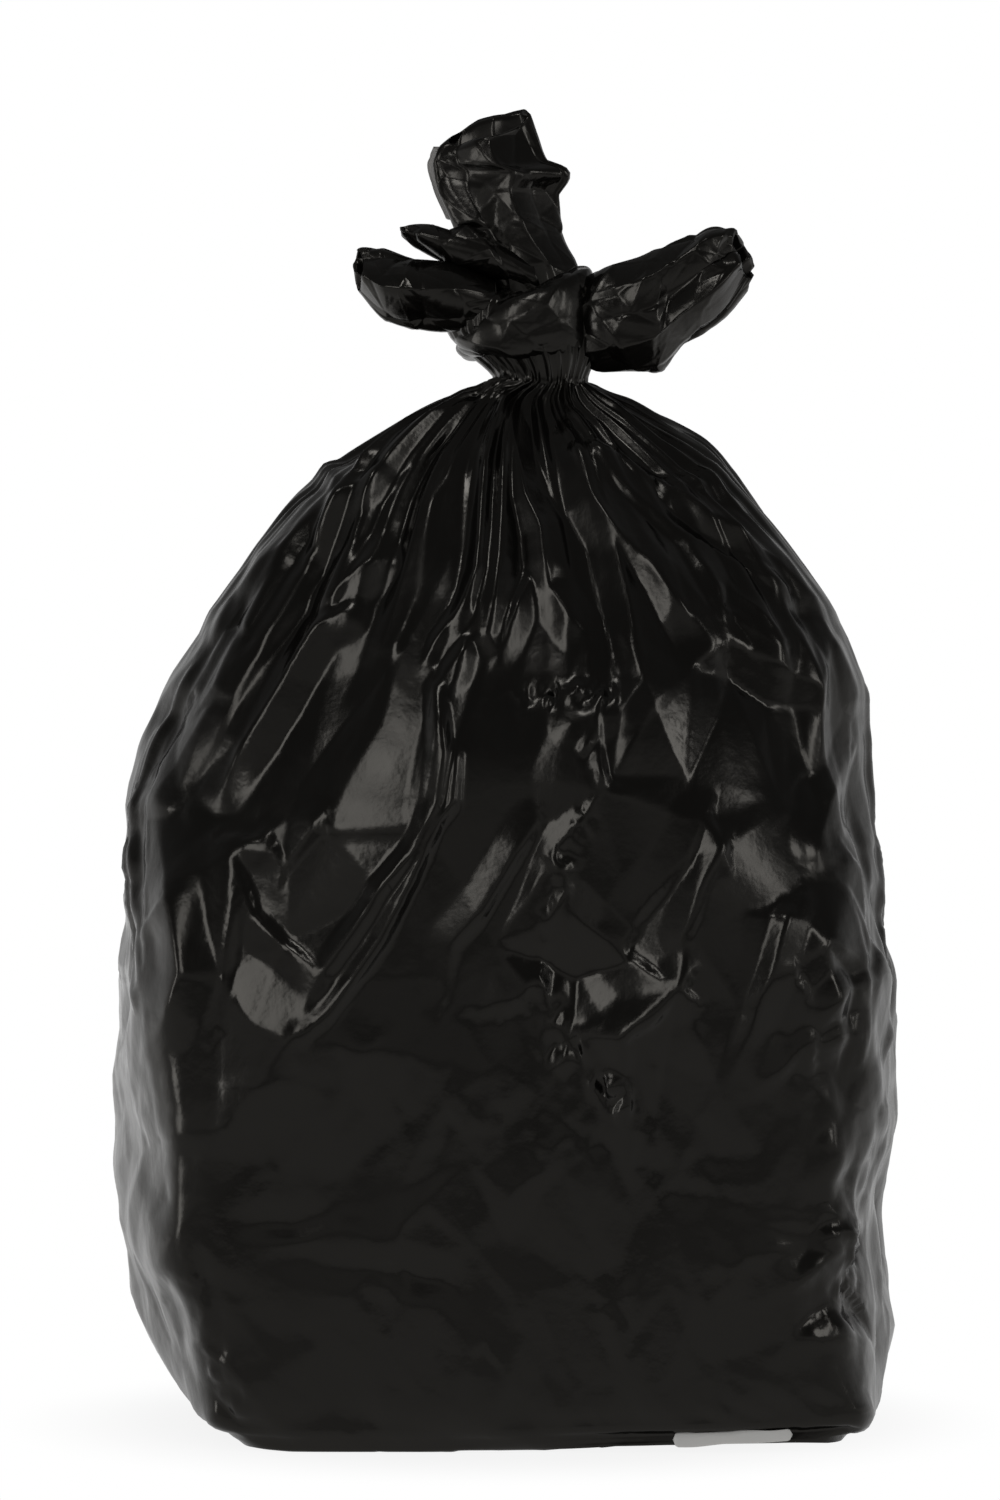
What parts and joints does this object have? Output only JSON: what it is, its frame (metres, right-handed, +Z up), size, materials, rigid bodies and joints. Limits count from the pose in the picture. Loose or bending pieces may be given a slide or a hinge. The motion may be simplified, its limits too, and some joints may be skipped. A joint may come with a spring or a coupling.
{
  "type": "full bin bag",
  "caption": "Black polythene refuse sack packed with household waste, standing upright, its mouth gathered into a knot with loose tails above.",
  "frame": {"origin": "middle of the outline on the floor that the sack stands on", "axes": "+Z up towards the knot, -Y towards the front, +X to the right as seen from the front"},
  "size_m": [0.4404, 0.3128, 0.7471],
  "materials": {
    "black_film": "glossy thin polythene film, creased"
  },
  "bodies": {
    "root": {"bin_bag": "black_film"}
  },
  "joints": []
}
